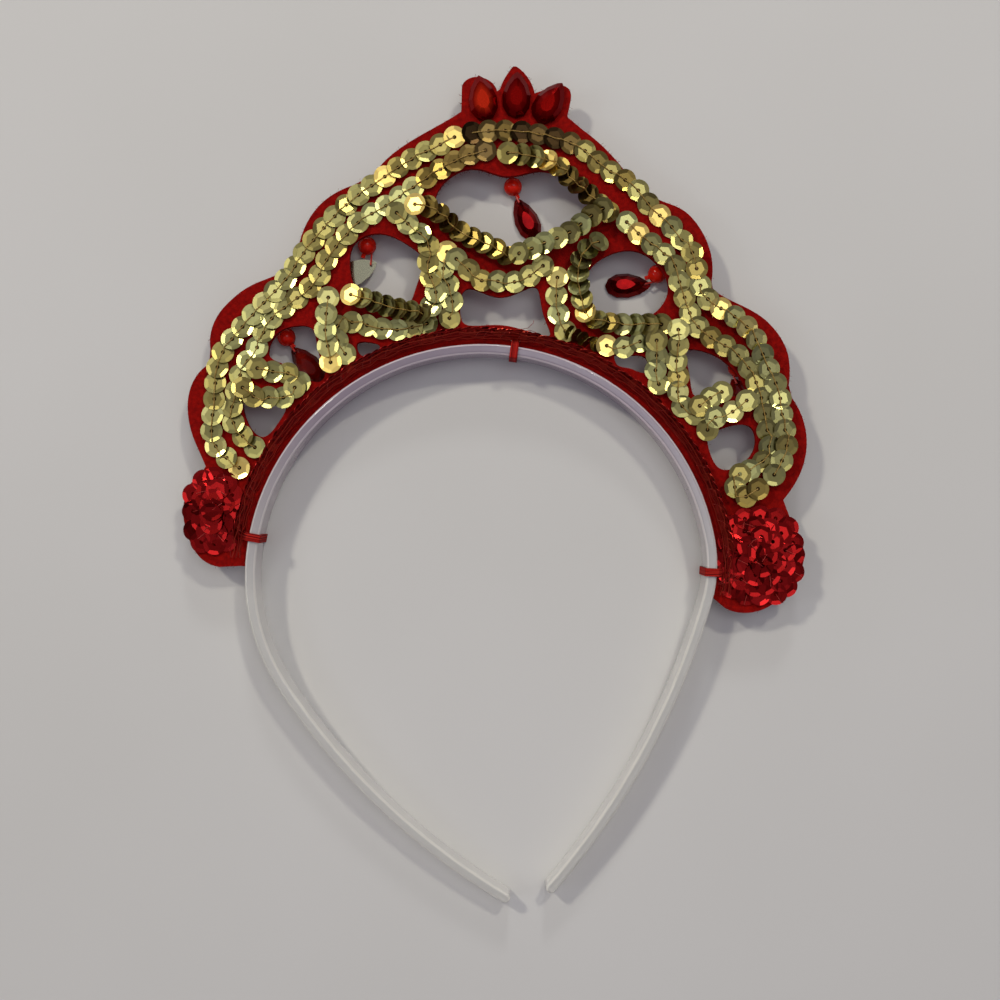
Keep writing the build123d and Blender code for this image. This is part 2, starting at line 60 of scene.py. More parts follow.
# Table and room
table_half = 1.5
table_drop = 0.05 * mm
room_patch_scale = 3.0
light_aim = (0, 0.03, 0)
LIGHTS = [  # (name, place, size, power, colour)
    ("window", (-0.95, 0.90, 1.25), 0.16, 9.6, (1.0, 0.96, 0.83)),
    ("lamp", (0.50, 0.90, 1.15), 0.13, 4.8, (1.0, 0.97, 0.85)),
    ("far lamp", (0.15, 2.20, 1.00), 0.30, 9.0, (0.96, 0.98, 1.0)),
    ("side window", (-1.40, -0.10, 1.10), 0.40, 1.8, (0.90, 0.95, 1.0)),
    ("ceiling lamp", (0.30, 0.35, 1.50), 0.60, 2.6, (0.97, 0.98, 1.0)),
]
# The room that the film mirrors: dull and bright patches, over walls that go from the floor (0)
# through the horizon (0.5) to the ceiling (1).
ROOM_PATCHES = [(0.36, (0.16, 0.14, 0.12)), (0.44, (0.88, 0.86, 0.84)), (0.57, (1.0, 1.0, 1.02)),
                (0.66, (1.6, 1.6, 1.5))]
ROOM_WALLS = [(0.0, (0.34, 0.32, 0.33)), (0.3, (0.20, 0.19, 0.23)), (0.55, (0.155, 0.15, 0.205)),
              (0.8, (0.31, 0.30, 0.38)), (1.0, (0.49, 0.48, 0.56))]
TABLE_SHADES = [(0.3, (0.585, 0.575, 0.545)), (0.7, (0.62, 0.61, 0.585))]

# Colours of film by tone, 0 the dullest sequin and 1 a painted flash. Tone varies at random, and on
# gold it also paints the light or shade that a sequin mirrors.
GOLD_TONES = [(0.0, (0.035, 0.02, 0.008)), (0.08, (0.13, 0.085, 0.03)), (0.35, (0.24, 0.165, 0.04)),
              (0.6, (0.31, 0.26, 0.08)), (0.85, (0.40, 0.40, 0.16)), (1.0, (0.95, 0.70, 0.20))]
RED_TONES = [(0.0, (0.10, 0.003, 0.003)), (0.55, (0.28, 0.008, 0.008)),
             (0.92, (0.44, 0.014, 0.014)), (1.0, (0.9, 0.10, 0.06))]
STRING_TONES = [(0.0, (0.09, 0.001, 0.001)), (0.6, (0.30, 0.008, 0.006)),
                (1.0, (0.46, 0.045, 0.022))]

# Clear plastic: its colour by how far a face looks up (0 a wall, 1 the top), in the bare arms and
# under the crown. The lighter band on the rounded edge between wall and top is a painted highlight;
# under the crown the colour is a painted reflection of the felt, with painted shade; the change
# runs between two heights on the head.
ARM_TINT_AND_HIGHLIGHT = [(0.0, (0.97, 0.95, 0.91)), (0.35, (0.97, 0.95, 0.91)), (0.50, (1.0, 0.98, 0.90)),
               (0.90, (1.0, 0.98, 0.90)), (0.97, (0.76, 0.75, 0.71)), (1.0, (0.77, 0.76, 0.72))]
CROWN_REFLECTION_AND_SHADE = [(0.0, (0.62, 0.50, 0.58)), (0.35, (0.62, 0.50, 0.58)), (0.50, (1.0, 0.88, 0.92)),
                 (0.90, (1.0, 0.88, 0.92)), (0.97, (0.40, 0.33, 0.40)), (1.0, (0.42, 0.35, 0.42))]
arms_end = -5 * mm
crown_start = 45 * mm

# Grain: scale of the noise in each surface, more is finer
felt_mottle = 900
felt_nap = 2600
thread_mottle = 3500
thread_relief = 5000
plastic_haze = 60
acrylic_mottle = 400
table_mottle = 6
plastic_ior = 1.45

# Gold sequins. A wobble or twist is how far a sequin's face may turn aside, as a share of its
# upward direction; row_lift and rope_lift raise it over its place in the CAD row.
sequin_diameter = 6.0 * mm
sequin_hole = 1.2 * mm
sequin_flat = 4.3 * mm
sequin_slope = 0.25
sequin_sheet = 0.10 * mm
sequin_sides = 6
rim_from = 0.42  # share of the diameter, beyond which a corner is on the rim
rim_cuts = 3
sequin_wobble = 0.075
sequin_spin = math.radians(30)
# A dark disc in each sequin's hole is painted shade.
hole_shade_sides = 6
hole_shade_diameter = 1.3 * mm
hole_shade_height = 0.12 * mm
hole_shade_depth = 0.28 * mm
row_lean = math.radians(6)
row_lift = 0.22 * mm
rope_wobble = 0.13
rope_pitch = 3.5 * mm
rope_lean = math.radians(25)
rope_lift = 0.7 * mm
stitch_diameter = 0.26 * mm
stitch_lift = 0.12 * mm
stitch_depth = 0.5 * mm
stitch_reach = 0.46  # share of the diameter, from a sequin's hole to where its stitch comes over
stitch_crest = 0.42 * mm
stitch_sway = 0.25 * mm
# A flash is a painted glint: the film's brightest tone.
painted_flash_share = 0.03  # share of the sequins that flash

# Rows that are pulled tight, so that their sequins stand up and crowd.
ROPES = ("v_left_row", "v_right_row", "left_strut_row", "right_post_outer", "second_top_row")
# Tight rows whose sequins lean back along the row.
LEAN_BACK = ("v_right_row",)
# Stretches of film whose tone is a painted reflection, duller or brighter than the rest, or a
# painted
# flash: where each one starts and ends, as a share of its row, and its tone.
usual_tone = 0.68
tone_spread = 0.12
REFLECTION_STRETCHES = [  # (node, start, end, tone)
    ("outer_left_row", 0.98, 1.00, 1.00),
    ("outer_top_row", 0.00, 0.36, 0.08),
    ("outer_top_row", 0.36, 1.00, 0.55),
    ("second_left_row", 0.84, 1.00, 0.22),
    ("second_top_row", 0.00, 0.65, 0.40),
    ("v_left_row", 0.00, 0.93, 0.30),
    ("v_left_row", 0.93, 1.00, 1.00),
    ("v_right_row", 0.00, 1.00, 0.70),
    ("left_strut_row", 0.10, 0.90, 0.75),
    ("left_strut_row", 0.90, 1.00, 1.00),
    ("right_post_outer", 0.00, 1.00, 0.72),
    ("right_post_inner", 0.40, 1.00, 0.95),
    ("end_row", 0.00, 1.00, 0.60),
    ("outer_right_row", 0.00, 1.00, 0.78),
]
GOLD_ROWS = sorted(name for name in nodes if name.endswith(("_row", "_inner", "_outer")))

# Short run of small sequins on edge over the foot of the right inner post: its ends in millimetres.
FOOT_RUN = [(23.6, 66.6, 9.0), (30.4, 63.4, 9.0)]
foot_count = 5
foot_tone = (0.32, 0.62)
foot_stand = (38, 66)  # degrees
foot_twist = (-0.6, 0.3)

# Domes: heaps of red sequins in tiers, each tier set in from the one below.
# A heap is moved and widened towards the band by its reach; its dullest is a tone.
dome_tiers = 5
dome_pitch = 3.9 * mm
dome_foot = 0.75 * mm
tier_drop = 0.8 * mm
first_inset = 2.4 * mm
tier_inset = 2.7 * mm
least_reach = 0.3 * mm
tier_shift = 0.41  # share of a sequin's step that each tier is turned by
dome_wobble = 0.15  # share of a sequin's step
dome_squareness = -0.35  # power that fills out the corners of a tier, 0 leaves an oval
dome_spread = (0.94, 1.02)  # how far out a sequin sits, as a share of its tier
dome_lean = (2, 13)  # degrees
dome_twist = 0.14
dome_spin = 6  # radians
brightest_dull = 0.9  # tone of the brightest sequin that doesn't flash
left_dullest = 0.0
right_dullest = 0.35
left_reach = 0.5 * mm
right_reach = 1.6 * mm
tail_share = 0.6  # share of the sequins with a loose thread tail
tail_length = (2.2 * mm, 3.2 * mm)
tail_bend = 1.3 * mm
TAIL_RISES = (0.1 * mm, 0.35 * mm, 0.5 * mm)
fine_thread = 0.14 * mm

# Base string: red sequins on edge along the foot of the tiara, from end to end of the felt.
string_diameter = 4.0 * mm
string_hole = 0.5 * mm
string_flat = 1.8 * mm
string_pitch = 2.3 * mm
string_stand = math.radians(58)
stand_wobble = 0.12  # radians
string_twist = (0.10, 0.34)
string_tone = (0.2, 0.95)
string_out = 0.1 * mm
string_height = 1.75 * mm
string_inner = 1.25 * mm
string_start = math.radians(-84.5)
string_end = math.radians(93.5)
string_skip = math.radians(1)
# Between these angles no dome is beside the string, and its sequins show.
string_first = math.radians(-79)
string_last = math.radians(82)
# Distances from the origin at which the string's solid is looked for.
search_start = 58 * mm
search_step = 0.1 * mm
search_count = 170
# Threads that run the length of the base string: how far out each lies from the string's inner side
# and how high over it, in millimetres.
STRING_LINES = [(-0.7, -0.9), (-0.3, -0.3), (0.0, 0.35), (0.45, 0.75), (1.0, 1.1), (1.7, 1.45)]
long_thread = 0.24 * mm
long_tone = (0.55, 1.0)
string_sway = 0.34  # millimetres
sway_rise = 0.3  # share of its sway that a thread rises by
loop_share = 0.3  # share of the string's sequins with a thread looped over them
# A loop's foot is in and down from the string's inner side; its knee is out, along and up from
# there; its end is along and up from the sequin's middle.
loop_foot = (0.2 * mm, 0.9 * mm)
loop_knee = (0.8 * mm, 0.6 * mm, 1.3 * mm)
loop_end = (1.5 * mm, 1.25 * mm)

# Felt
felt_edge = 0.22 * mm
edge_steps = 2
flat_angle = math.radians(1)
sharp_angle = math.radians(60)
level_slack = 0.01 * mm
crest_foot = 100 * mm
crest_weight = 4  # how many times as thickly fibres stand round the crest
wall_limit = 0.2  # how far up or down a face of the felt's cut edge may look
fibre_count = 420
fibre_sides = 3
fibre_diameter = 0.07 * mm
fibre_root = 0.1 * mm
fibre_length = (0.4 * mm, 1.1 * mm)
fibre_drift = 0.9
fibre_bend = 0.5
fibre_knee = 0.6  # share of its length after which a fibre bends
fibre_tip = 0.5  # share of its length that lies beyond the bend

# Beads' necks and ties
neck_diameter = 1.2 * mm
neck_sides = 8
neck_start = 2.2 * mm
NECK_STEPS = (0.7 * mm, 1.3 * mm)
strand_count = 190  # strands of thread to a radian round the head
end_sides = 5
LOOSE_ENDS = [  # points in millimetres
    [(9.2, 66.0, 9.6), (10.4, 67.3, 10.0), (12.4, 67.6, 10.3), (13.8, 68.9, 10.5),
     (13.9, 69.6, 10.4)],
    [(9.2, 66.0, 9.6), (11.0, 66.8, 10.2), (13.2, 66.9, 10.4), (14.6, 66.4, 10.1)],
    [(63.2, -0.6, 9.6), (65.4, 0.4, 10.4), (67.5, 1.4, 10.8), (68.6, 1.6, 10.6)],
    [(63.2, -0.9, 9.6), (65.0, -0.5, 10.3), (67.0, 0.3, 10.6), (68.3, 0.2, 10.5)],
    [(-60.8, 10.8, 9.6), (-62.6, 11.9, 10.3), (-64.4, 12.4, 10.6), (-65.2, 13.4, 10.4)],
]

# Seeds of the chance that turns and tones the sequins
main_seed = 7
foot_seed = 11


def shader_of(made):
    """Main shader of a material."""
    return made.node_tree.nodes["Principled BSDF"]


def material(name, colour, roughness, **extras):
    """New plain material; extras are the names of the shader's other sockets and their values."""
    made = bpy.data.materials.new(name)
    made.use_nodes = True
    shader = shader_of(made)
    shader.inputs["Base Color"].default_value = (*colour, 1)
    shader.inputs["Roughness"].default_value = roughness
    for socket, value in extras.items():
        shader.inputs[socket.replace("_", " ")].default_value = value
    return made


def set_colour(made, colour):
    """Lets a computed colour reach the main shader."""
    made.node_tree.links.new(colour, shader_of(made).inputs["Base Color"])


def coordinate(tree, kind, axis=None):
    """The object's own coordinates of one kind, or one axis of them."""
    where = tree.nodes.new("ShaderNodeTexCoord").outputs[kind]
    if axis is None:
        return where
    split = tree.nodes.new("ShaderNodeSeparateXYZ")
    tree.links.new(where, split.inputs["Vector"])
    return split.outputs[axis]


def add_noise(tree, scale, detail=2.0, kind="Object"):
    """Noise laid on the object's own coordinates."""
    noise = tree.nodes.new("ShaderNodeTexNoise")
    noise.inputs["Scale"].default_value = scale
    noise.inputs["Detail"].default_value = detail
    tree.links.new(coordinate(tree, kind), noise.inputs["Vector"])
    return noise.outputs["Fac"]


def add_ramp(tree, factor, stops):
    """Colours that follow a factor; stops are (place, colour)."""
    ramp = tree.nodes.new("ShaderNodeValToRGB")
    while len(ramp.color_ramp.elements) < len(stops):
        ramp.color_ramp.elements.new(0.5)
    for stop, (spot, colour) in zip(ramp.color_ramp.elements, stops):
        stop.position = spot
        stop.color = (*colour, 1)
    tree.links.new(factor, ramp.inputs["Fac"])
    return ramp.outputs["Color"]


def add_span(tree, value, start, end):
    """Share of the way that a value has gone from a start to an end."""
    span = tree.nodes.new("ShaderNodeMapRange")
    span.inputs["From Min"].default_value = start
    span.inputs["From Max"].default_value = end
    tree.links.new(value, span.inputs["Value"])
    return span.outputs["Result"]


def add_mix(tree, blend, first, second, factor=None):
    """Two colours blended in full, or as far as a factor says."""
    both = tree.nodes.new("ShaderNodeMix")
    both.data_type = "RGBA"
    both.blend_type = blend
    if factor is None:
        both.inputs["Factor"].default_value = 1.0
    else:
        tree.links.new(factor, both.inputs["Factor"])
    sockets = [item for item in both.inputs if item.type == "RGBA"]
    tree.links.new(first, sockets[0])
    tree.links.new(second, sockets[1])
    return [item for item in both.outputs if item.type == "RGBA"][0]


def add_bump(made, factor, strength, distance):
    """Small relief that follows a factor."""
    tree = made.node_tree
    bump = tree.nodes.new("ShaderNodeBump")
    bump.inputs["Strength"].default_value = strength
    bump.inputs["Distance"].default_value = distance
    tree.links.new(factor, bump.inputs["Height"])
    tree.links.new(bump.outputs["Normal"], shader_of(made).inputs["Normal"])


def film_material(name, colour, roughness, metallic, stops):
    """Sequin film, coloured by the tone that each sequin carries: random shades of film, painted
    reflections and painted flashes.
    """
    made = material(name, colour, roughness, Metallic=metallic)
    tone = made.node_tree.nodes.new("ShaderNodeAttribute")
    tone.attribute_name = "tone"
    set_colour(made, add_ramp(made.node_tree, tone.outputs["Fac"], stops))
    return made


def felt_material():
    made = material("red felt", (0.27, 0.003, 0.005), 0.95, Specular_IOR_Level=0.1)
    tree = made.node_tree
    set_colour(made, add_ramp(tree, add_noise(tree, felt_mottle, 4),
                              [(0.3, (0.16, 0.001, 0.0006)), (0.7, (0.28, 0.003, 0.0012))]))
    add_bump(made, add_noise(tree, felt_nap, 5), 0.6, 0.25 * mm)
    return made


def thread_material(name, dark, light, roughness):
    made = material(name, light, roughness)
    tree = made.node_tree
    mottle = add_noise(tree, thread_mottle)
    set_colour(made, add_ramp(tree, mottle, [(0.35, dark), (0.65, light)]))
    add_bump(made, add_noise(tree, thread_relief, 1), 0.4, 0.05 * mm)
    return made


def tie_material():
    """Strands of red thread laid side by side, each running out from the middle of the head."""
    made = material("tied red thread", (0.3, 0.01, 0.006), 0.9, Specular_IOR_Level=0.15)
    tree = made.node_tree
    turn = tree.nodes.new("ShaderNodeMath")
    turn.operation = "ARCTAN2"
    tree.links.new(coordinate(tree, "Object", "Y"), turn.inputs[0])
    tree.links.new(coordinate(tree, "Object", "X"), turn.inputs[1])
    strands = tree.nodes.new("ShaderNodeTexNoise")
    strands.noise_dimensions = "1D"
    strands.inputs["Scale"].default_value = strand_count
    strands.inputs["Detail"].default_value = 1.5
    tree.links.new(turn.outputs["Value"], strands.inputs["W"])
    shade = strands.outputs["Fac"]
    set_colour(made, add_ramp(tree, shade, [(0.36, (0.10, 0.001, 0.001)),
                                            (0.5, (0.30, 0.006, 0.004)),
                                            (0.62, (0.46, 0.02, 0.012))]))
    add_bump(made, shade, 0.8, 0.3 * mm)
    return made


def clear_plastic_material():
    made = material("clear plastic", (0.90, 0.885, 0.84), 0.14, Transmission_Weight=0.45,
                    IOR=plastic_ior)
    tree = made.node_tree
    haze = add_noise(tree, plastic_haze)
    roughness = add_ramp(tree, haze, [(0.4, (0.10,) * 3), (0.7, (0.16,) * 3)])
    tree.links.new(roughness, shader_of(made).inputs["Roughness"])
    facing = coordinate(tree, "Normal", "Z")
    up_head = add_span(tree, coordinate(tree, "Object", "Y"), arms_end, crown_start)
    # Painted highlight on the rounded edges; painted reflection of the felt and painted shade under
    # the crown.
    set_colour(made, add_mix(tree, "MIX", add_ramp(tree, facing, ARM_TINT_AND_HIGHLIGHT),
                             add_ramp(tree, facing, CROWN_REFLECTION_AND_SHADE), up_head))
    return made


def gem_material(name, low, high, edge, table):
    """Cut red stone, with painted shade at its girdle and a painted glow in its table, by height.
    """
    made = material(name, table, 0.10, Metallic=0.75, Specular_IOR_Level=0.06)
    tree = made.node_tree
    height = add_span(tree, coordinate(tree, "Object", "Z"), low, high)
    # Painted shade low on the stone, painted glow at its top.
    set_colour(made, add_ramp(tree, height, [(0.15, edge), (0.65, edge), (0.97, table)]))
    return made


def red_acrylic_material(name, dark, light, transmission, roughness, metallic=0.0):
    made = material(name, light, roughness, Transmission_Weight=transmission,
                    IOR=plastic_ior, Specular_IOR_Level=0.10, Metallic=metallic)
    tree = made.node_tree
    mottle = add_noise(tree, acrylic_mottle)
    set_colour(made, add_ramp(tree, mottle, [(0.3, dark), (0.7, light)]))
    return made


gold = film_material("gold sequin film", (0.5, 0.42, 0.16), 0.28, 1.0, GOLD_TONES)
red_sequin = film_material("dark red sequin film", (0.2, 0.002, 0.003), 0.2, 1.0, RED_TONES)
string_sequin = film_material("brownish red sequin film", (0.3, 0.02, 0.02), 0.3, 0.8,
                              STRING_TONES)
felt = felt_material()
gold_thread = thread_material("gold thread", (0.22, 0.12, 0.02), (0.52, 0.34, 0.09), 0.35)
red_thread = thread_material("red thread", (0.13, 0.001, 0.001), (0.30, 0.006, 0.003), 0.9)
pale_thread = thread_material("pale red thread", (0.25, 0.01, 0.008), (0.50, 0.06, 0.045), 0.4)
nylon = thread_material("half clear thread", (0.34, 0.01, 0.008), (0.55, 0.04, 0.025), 0.3)
tied_thread = tie_material()
clear_plastic = clear_plastic_material()
gem_low, gem_high = [corner.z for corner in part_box("crest_gem_middle")]
deep_gem = gem_material("deep gem acrylic", gem_low, gem_high,
                        (0.15, 0.0, 0.001), (0.28, 0.003, 0.002))
# The left gem has a brighter painted glow.
brighter_glow_gem = gem_material("gem acrylic with brighter painted glow", gem_low, gem_high,
                          (0.20, 0.0, 0.001), (0.70, 0.03, 0.008))
bead_acrylic = red_acrylic_material("bead acrylic", (0.50, 0.006, 0.003), (0.85, 0.022, 0.006),
                                    0.2, 0.12)
drop_acrylic = red_acrylic_material("drop acrylic", (0.10, 0.0, 0.001), (0.22, 0.002, 0.002),
                                    0.2, 0.10, 0.8)
low_drop_acrylic = red_acrylic_material("low drop acrylic", (0.22, 0.004, 0.003),
                                        (0.42, 0.02, 0.01), 0.7, 0.05)
drop_back = material("mirror back of the drop", (0.52, 0.52, 0.33), 0.12, Metallic=1.0)


def add_piece(name, bm, made, slot, *replaced):
    """Finished piece from its mesh, in place of some CAD nodes; its slot is not used."""
    mesh = bpy.data.meshes.new(name)
    bm.normal_update()
    bm.to_mesh(mesh)
    bm.free()
    mesh.materials.append(made)
    piece = bpy.data.objects.new(name, mesh)
    bpy.context.collection.objects.link(piece)
    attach(piece, "root")
    if replaced:
        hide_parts(*replaced)


def paint(node, made):
    """Gives a CAD node a better material."""
    nodes[node].data.materials.clear()
    nodes[node].data.materials.append(made)


def shape_mesh(name, bm):
    """Keeps a small shape as a mesh that can be put in many places."""
    mesh = bpy.data.meshes.new(name)
    bm.to_mesh(mesh)
    bm.free()
    return mesh


def sequin_shape(diameter, hole, flat):
    """Cupped sequin facing +Z: a drilled flat middle, and flat slopes that rise to a round rim."""
    bm = bmesh.new()
    half_side = math.pi / sequin_sides
    foot = flat / 2 * math.cos(half_side)
    drop = sequin_slope * (diameter / 2 - foot) / 2
    profile = [bm.verts.new((radius, 0, -drop)) for radius in (hole / 2, flat / 2, diameter / 2)]
    edges = [bm.edges.new(pair) for pair in zip(profile, profile[1:])]
    bmesh.ops.spin(bm, geom=profile + edges, cent=(0, 0, 0), axis=(0, 0, 1), angle=2 * math.pi,
                   steps=sequin_sides, use_merge=True)
    bmesh.ops.remove_doubles(bm, verts=bm.verts, dist=weld_distance)
    rim = [edge for edge in bm.edges
           if all(vert.co.xy.length > diameter * rim_from for vert in edge.verts)]
    bmesh.ops.subdivide_edges(bm, edges=rim, cuts=rim_cuts)
    for vert in bm.verts:
        if vert.co.xy.length > diameter * rim_from:
            turn = math.atan2(vert.co.y, vert.co.x)
            vert.co.xy = vert.co.xy.normalized() * diameter / 2
            off = (turn % (2 * half_side)) - half_side
            vert.co.z = -drop + sequin_slope * (diameter / 2 * math.cos(off) - foot)
    bmesh.ops.recalc_face_normals(bm, faces=bm.faces)
    bmesh.ops.solidify(bm, geom=bm.faces[:], thickness=sequin_sheet)
    bmesh.ops.recalc_face_normals(bm, faces=bm.faces)
    return shape_mesh("sequin shape", bm)


def hole_shade_shape():
    """Dark disc in a sequin's hole, in the film's darkest tone: painted shade of the hole."""
    bm = bmesh.new()
    bmesh.ops.create_cone(bm, cap_ends=True, segments=hole_shade_sides,
                          radius1=hole_shade_diameter / 2, radius2=hole_shade_diameter / 2,
                          depth=hole_shade_height)
    return shape_mesh("plug shape", bm)


def set_tone(bm, first_face, tone):
    """Gives a tone to all faces from one on."""
    layer = bm.faces.layers.float.get("tone") or bm.faces.layers.float.new("tone")
    bm.faces.ensure_lookup_table()
    for face in bm.faces[first_face:]:
        face[layer] = tone


def put(bm, shape, place, tone):
    """Adds one copy of a shape at a place, with its tone."""
    first = len(bm.verts)
    first_face = len(bm.faces)
    bm.from_mesh(shape)
    bm.verts.ensure_lookup_table()
    bmesh.ops.transform(bm, matrix=place, verts=bm.verts[first:])
    set_tone(bm, first_face, tone)


def seat(centre, along, normal):
    """Matrix that lays a sequin on its centre, its first corner pointing along its row."""
    normal = normal.normalized()
    ahead = (along - along.dot(normal) * normal).normalized()
    side = normal.cross(ahead)
    turned = Matrix((ahead, side, normal)).transposed().to_4x4()
    return Matrix.Translation(centre) @ turned


def tube(bm, points, diameter, sides=4):
    """Round thread through a list of points, closed at both ends."""
    ring = None
    for step, point in enumerate(points):
        back = points[max(step - 1, 0)]
        ahead = points[min(step + 1, len(points) - 1)]
        turned = (ahead - back).to_track_quat("Z", "Y").to_matrix().to_4x4()
        place = Matrix.Translation(point) @ turned
        if ring is None:
            made = bmesh.ops.create_circle(bm, segments=sides, radius=diameter / 2, cap_ends=True,
                                           matrix=place)
            ring = made["verts"][0].link_faces[0]
            ring.normal_update()
            ring.normal_flip()
        else:
            made = bmesh.ops.extrude_face_region(bm, geom=[ring], use_keep_orig=step == 1)
            verts = [item for item in made["geom"] if isinstance(item, bmesh.types.BMVert)]
            bmesh.ops.transform(bm, matrix=place @ last_place.inverted(), verts=verts)
            ring = [item for item in made["geom"] if isinstance(item, bmesh.types.BMFace)][0]
        last_place = place


def island_of(start, seen):
    """All vertices joined to one, which are marked as seen."""
    island = []
    waiting = [start]
    seen.add(start)
    while waiting:
        vert = waiting.pop()
        island.append(vert)
        for edge in vert.link_edges:
            other = edge.other_vert(vert)
            if other not in seen:
                seen.add(other)
                waiting.append(other)
    return island


def discs(node):
    """Centre and upward normal of each sequin in a CAD row, in the order they are sewn."""
    bm = bmesh.new()
    bm.from_mesh(nodes[node].data)
    bmesh.ops.remove_doubles(bm, verts=bm.verts, dist=weld_distance)
    found = []
    seen = set()
    for start in bm.verts:
        if start in seen:
            continue
        island = island_of(start, seen)
        low = Vector(min(vert.co[axis] for vert in island) for axis in range(3))
        high = Vector(max(vert.co[axis] for vert in island) for axis in range(3))
        faces = {face for vert in island for face in vert.link_faces}
        normal = max(faces, key=lambda face: face.calc_area()).normal.copy()
        if normal.z < 0:
            normal.negate()
        found.append(((low + high) / 2, normal))
    bm.free()
    return found


def with_runs(found):
    """Discs in the order of the row, each with its direction along the row."""
    centres = [centre for centre, normal in found]
    laid = []
    for step, (centre, normal) in enumerate(found):
        back = centres[max(step - 1, 0)]
        ahead = centres[min(step + 1, len(centres) - 1)]
        laid.append((centre, (ahead - back).normalized(), normal))
    return laid


def laid_over(found):
    """The same row with each sequin standing a little prouder of the one before."""
    leaned = []
    for centre, along, normal in with_runs(found):
        flat = (normal - along.dot(normal) * along).normalized()
        leaned.append((centre + UP * row_lift,
                       flat * math.cos(row_lean) + along * math.sin(row_lean)))
    return leaned


def pulled_tight(found, way):
    """The same row with its sequins closer together, leaning far over along the row."""
    centres = [centre for centre, normal in found]
    lengths = [0.0]
    for back, ahead in zip(centres, centres[1:]):
        lengths.append(lengths[-1] + (ahead - back).length)
    count = round(lengths[-1] / rope_pitch) + 1
    tight = []
    for step in range(count):
        run_length = lengths[-1] * step / (count - 1)
        leg = min(sum(length <= run_length for length in lengths) - 1, len(centres) - 2)
        share = (run_length - lengths[leg]) / (lengths[leg + 1] - lengths[leg])
        centre = centres[leg].lerp(centres[leg + 1], share)
        run = centres[leg + 1] - centres[leg]
        flat_run = Vector((run.x, run.y, 0)).normalized()
        normal = UP * math.cos(rope_lean) + flat_run * way * math.sin(rope_lean)
        tight.append((centre + UP * rope_lift, normal))
    return tight


def tone_at(node, share):
    """Tone of the film at a share of a row's length, with its painted reflection."""
    tone = usual_tone
    for name, start, end, reflection_tone in REFLECTION_STRETCHES:
        if name == node and start <= share <= end:
            tone = reflection_tone
    return tone


def stitch_route(last, this, chance):
    """Way of one stitch from the last sequin's hole, over the edge of this one, into its hole."""
    last_centre, last_normal = last[0], last[2]
    centre, along, normal = this
    ahead = (along - along.dot(normal) * normal).normalized()
    back_edge = centre - ahead * (sequin_diameter * stitch_reach)
    sway = normal.cross(ahead) * chance.uniform(-stitch_sway, stitch_sway)
    return [
        last_centre - last_normal * stitch_depth,
        last_centre + last_normal * stitch_lift,
        back_edge + normal * stitch_crest + sway,
        centre + normal * stitch_lift,
        centre - normal * stitch_depth,
    ]


def gold_row(node, shape, hole_shade, chance):
    """One row of cupped gold sequins with its stitches."""
    bm = bmesh.new()
    stitches = bmesh.new()
    found = discs(node)
    way = -1 if node in LEAN_BACK else 1
    laid = with_runs(pulled_tight(found, way) if node in ROPES else laid_over(found))
    wobble = rope_wobble if node in ROPES else sequin_wobble
    turned = []
    for step, (centre, along, normal) in enumerate(laid):
        tone_here = tone_at(node, step / (len(laid) - 1))
        side = normal.cross(along)
        leaned = normal + along * chance.gauss(0, wobble) + side * chance.gauss(0, wobble)
        leaned.normalize()
        turned.append((centre, along, leaned))
        tone = min(1.0, max(0.0, chance.gauss(tone_here, tone_spread)))
        # A painted flash: the brightest tone, as if the sequin caught a lamp.
        if chance.random() < painted_flash_share:
            tone = 1.0
        spin = Matrix.Rotation(chance.uniform(-sequin_spin, sequin_spin), 4, "Z")
        put(bm, shape, seat(centre, along, leaned) @ spin, tone)
        # Painted shade in the hole: a dark disc in the film's darkest tone.
        put(bm, hole_shade, seat(centre - leaned * hole_shade_depth, along, leaned), 0.0)
    for last, this in zip(turned, turned[1:]):
        tube(stitches, stitch_route(last, this, chance), stitch_diameter)
    add_piece("gold_" + node, bm, gold, "gold_sequin", node)
    add_piece("stitches_" + node, stitches, gold_thread, "gold_sequin")


def foot_sequins(shape, chance):
    """Dull sequins that stand on edge, crowded between two rows."""
    bm = bmesh.new()
    start, end = [Vector(point) * mm for point in FOOT_RUN]
    along = (end - start).normalized()
    across = UP.cross(along)
    for step in range(foot_count):
        centre = start.lerp(end, step / (foot_count - 1))
        stand = math.radians(chance.uniform(*foot_stand))
        twist = chance.uniform(*foot_twist)
        normal = UP * math.cos(stand) + along * math.sin(stand) + across * twist
        put(bm, shape, seat(centre, along, normal), chance.uniform(*foot_tone))
    add_piece("gold_foot_sequins", bm, gold, "gold_sequin")


def surface_of(node):
    """Search tree over a CAD node's faces."""
    bm = bmesh.new()
    bm.from_mesh(nodes[node].data)
    tree = BVHTree.FromBMesh(bm)
    bm.free()
    return tree


def covers(tree, x, y):
    """Whether a surface lies over or under a point."""
    return tree.ray_cast(Vector((x, y, 1)), Vector((0, 0, -1)))[0] is not None


def thread_tail(threads, place, facing, chance):
    """Loose thread that comes out of a sequin's hole and lies over it."""
    middle = place.to_translation()
    turn = Matrix.Rotation(chance.uniform(0, 2 * math.pi), 3, "Z")
    away = place.to_3x3() @ turn @ Vector((1, 0, 0))
    reach = chance.uniform(*tail_length)
    low, middling, high = [facing * rise for rise in TAIL_RISES]
    tube(threads, [middle + low, middle + away * tail_bend + middling,
                   middle + away * reach + high], fine_thread)


